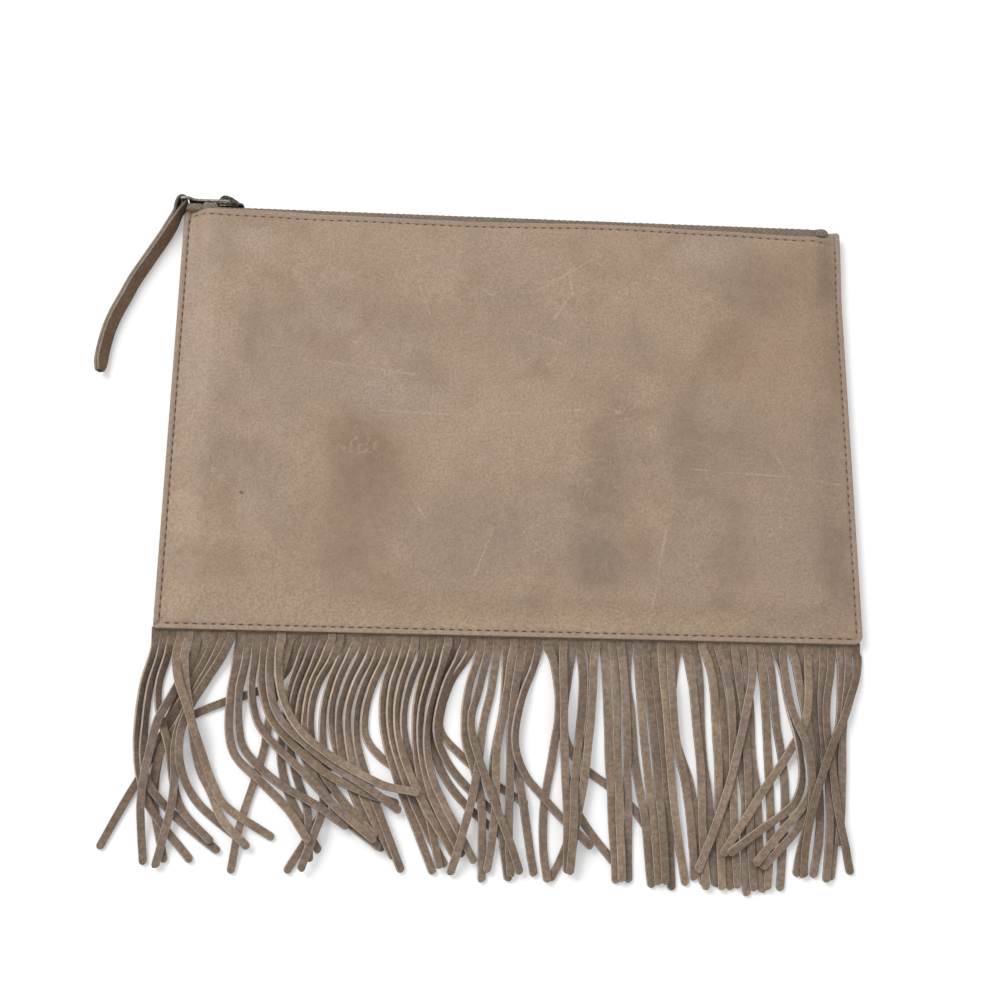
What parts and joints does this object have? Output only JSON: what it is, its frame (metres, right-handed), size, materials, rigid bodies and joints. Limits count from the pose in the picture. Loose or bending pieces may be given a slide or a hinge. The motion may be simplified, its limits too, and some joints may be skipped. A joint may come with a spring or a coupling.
{
  "type": "fringed zip pouch",
  "caption": "Flat zip pouch of soft leather with a long suede fringe along its lower edge and a leather tab on the zip puller, lying on its back.",
  "frame": {"origin": "middle of the back panel's resting face, on the surface the pouch lies on", "axes": "+X along the pouch's width, towards the end where the zip stops when open; +Y towards the zip; +Z out of the front panel, up from the surface it lies on"},
  "size_m": [0.3412, 0.3141, 0.0121],
  "materials": {
    "leather": "matt waxed, blotchy tan",
    "suede": "napped suede",
    "lining_cloth": "plain weave",
    "tape_cloth": "twill tape",
    "teeth_metal": "dark antique",
    "slider_metal": "dark oxidised casting",
    "puller_metal": "worn nickel",
    "tab_leather": "matt dark brown"
  },
  "bodies": {
    "pouch": {"front_panel": "leather", "back_panel": "leather", "front_lining": "lining_cloth", "back_lining": "lining_cloth", "fringe": "suede", "zip_tape_front": "tape_cloth", "zip_tape_back": "tape_cloth", "zip_teeth_front": "teeth_metal", "zip_teeth_back": "teeth_metal", "zip_stop_bottom": "teeth_metal", "zip_stop_top_front": "teeth_metal", "zip_stop_top_back": "teeth_metal"},
    "slider": {"zip_slider": "slider_metal"},
    "puller": {"puller": "puller_metal"},
    "tab": {"pull_tab": "tab_leather"}
  },
  "joints": [
    {"name": "slider_travel", "type": "slide", "parent": "pouch", "child": "slider", "axis": [1, 0, 0], "range_m": [0, 0.263], "deforming": ["pull_tab"]},
    {"name": "puller_flip", "type": "hinge", "parent": "slider", "child": "puller", "pos_m": [-0.132, 0.104, 0.005], "axis": [0, 0, 1], "range_deg": [-165, 0]},
    {"name": "tab_swing", "type": "hinge", "parent": "puller", "child": "tab", "pos_m": [-0.1537, 0.104, 0.005], "axis": [0, 0, 1], "range_deg": [-120, 10]}
  ]
}
